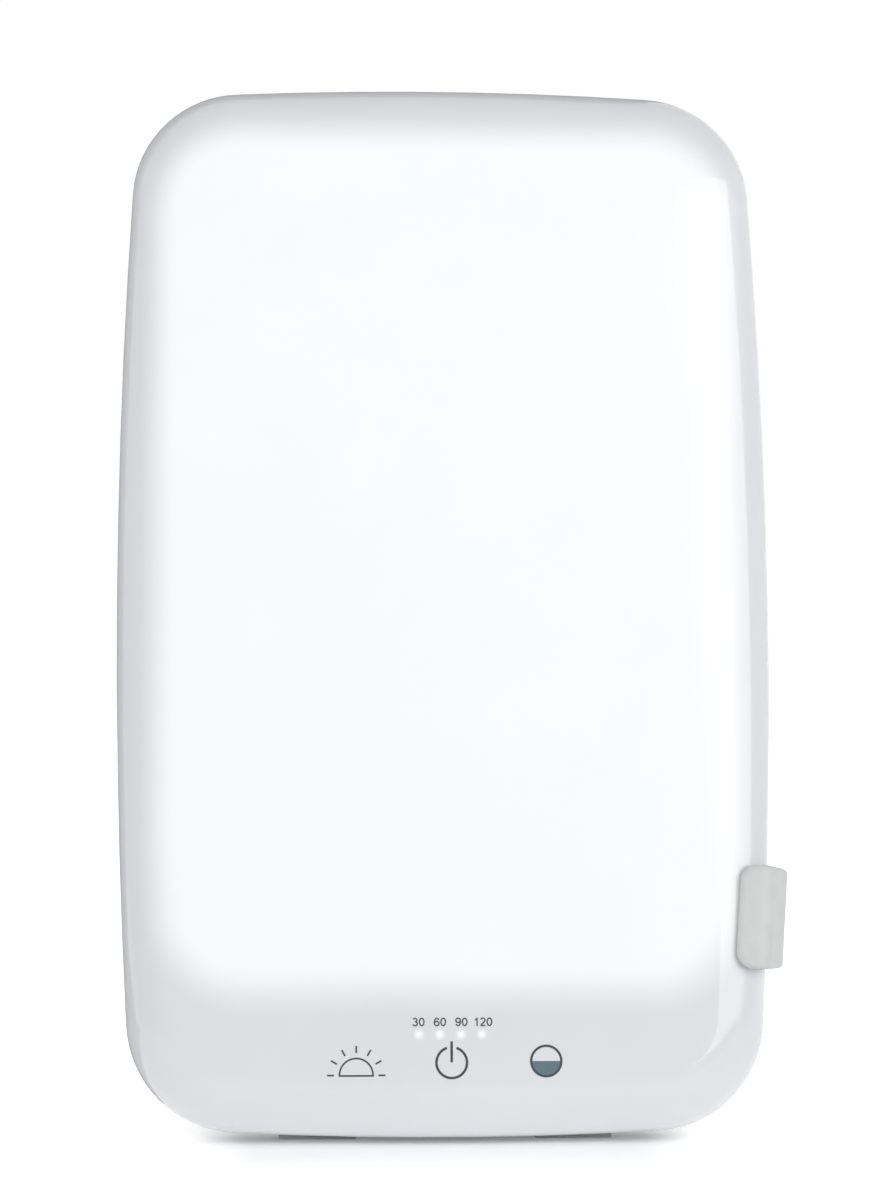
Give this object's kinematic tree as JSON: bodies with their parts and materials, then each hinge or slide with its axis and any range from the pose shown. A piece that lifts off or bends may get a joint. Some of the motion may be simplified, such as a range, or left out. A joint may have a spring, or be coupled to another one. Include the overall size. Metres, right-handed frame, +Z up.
{
  "type": "light therapy lamp",
  "caption": "Flat white light therapy lamp with a barrel-shaped opal panel, leaning back on rubber feet and a grey swing-out leg hinged on a side clasp.",
  "frame": {"origin": "on the table, on the lamp's middle plane, midway between its front and the tip of its leg", "axes": "+Z up, the lamp's front faces -Y and leans back towards +Y, +X is to the viewer's right"},
  "size_m": [0.3152, 0.2225, 0.4942],
  "materials": {
    "opal_cover": "glossy opal acrylic, lit from inside",
    "white_housing": "fine satin texture",
    "diffuser": "frosted sheet",
    "reflector": "bright white",
    "aluminium": "rolled sheet",
    "white_board": "white solder mask",
    "green_board": "green solder mask",
    "led": "phosphor lens",
    "steel": "zinc plated",
    "foam": "conductive foam",
    "black_plastic": "moulded",
    "capacitor": "sleeved can",
    "connector": "moulded",
    "lead": "flat lead insulation",
    "grey_metal": "satin silver-grey paint on a casting",
    "pale_rubber": "moulded light grey rubber",
    "bush": "low-friction bush"
  },
  "bodies": {
    "lamp": {"front_cover": "opal_cover", "rear_housing": "white_housing", "reflector_tray": "reflector", "diffuser_sheet": "diffuser", "heat_spreader": "aluminium", "led_strips": "white_board", "led_packages": "led", "housing_screws": "steel", "tray_screws": "steel", "control_screws": "steel", "driver_screws": "steel", "control_board": "green_board", "touch_pads": "foam", "indicator_leds": "led", "indicator_shade": "black_plastic", "driver_board": "green_board", "driver_inductor": "black_plastic", "driver_capacitors": "capacitor", "board_connectors": "connector", "power_lead": "lead", "control_lead": "lead", "light_lead": "lead", "dc_jack": "black_plastic", "jack_nut": "steel", "clasp": "grey_metal", "clasp_liner": "pale_rubber", "clasp_screws": "steel", "hinge_pin": "steel", "friction_washers": "steel", "hinge_nut": "steel", "foot_left": "pale_rubber", "foot_right": "pale_rubber"},
    "leg": {"leg_arm": "grey_metal", "leg_shoe": "pale_rubber", "hinge_bush": "bush"}
  },
  "joints": [
    {"name": "leg_swing", "type": "hinge", "parent": "lamp", "child": "leg", "pos_m": [0.13859, -0.02928, 0.09234], "axis": [-0.0751, -0.2073, -0.9754], "range_deg": [-55, 20]}
  ]
}
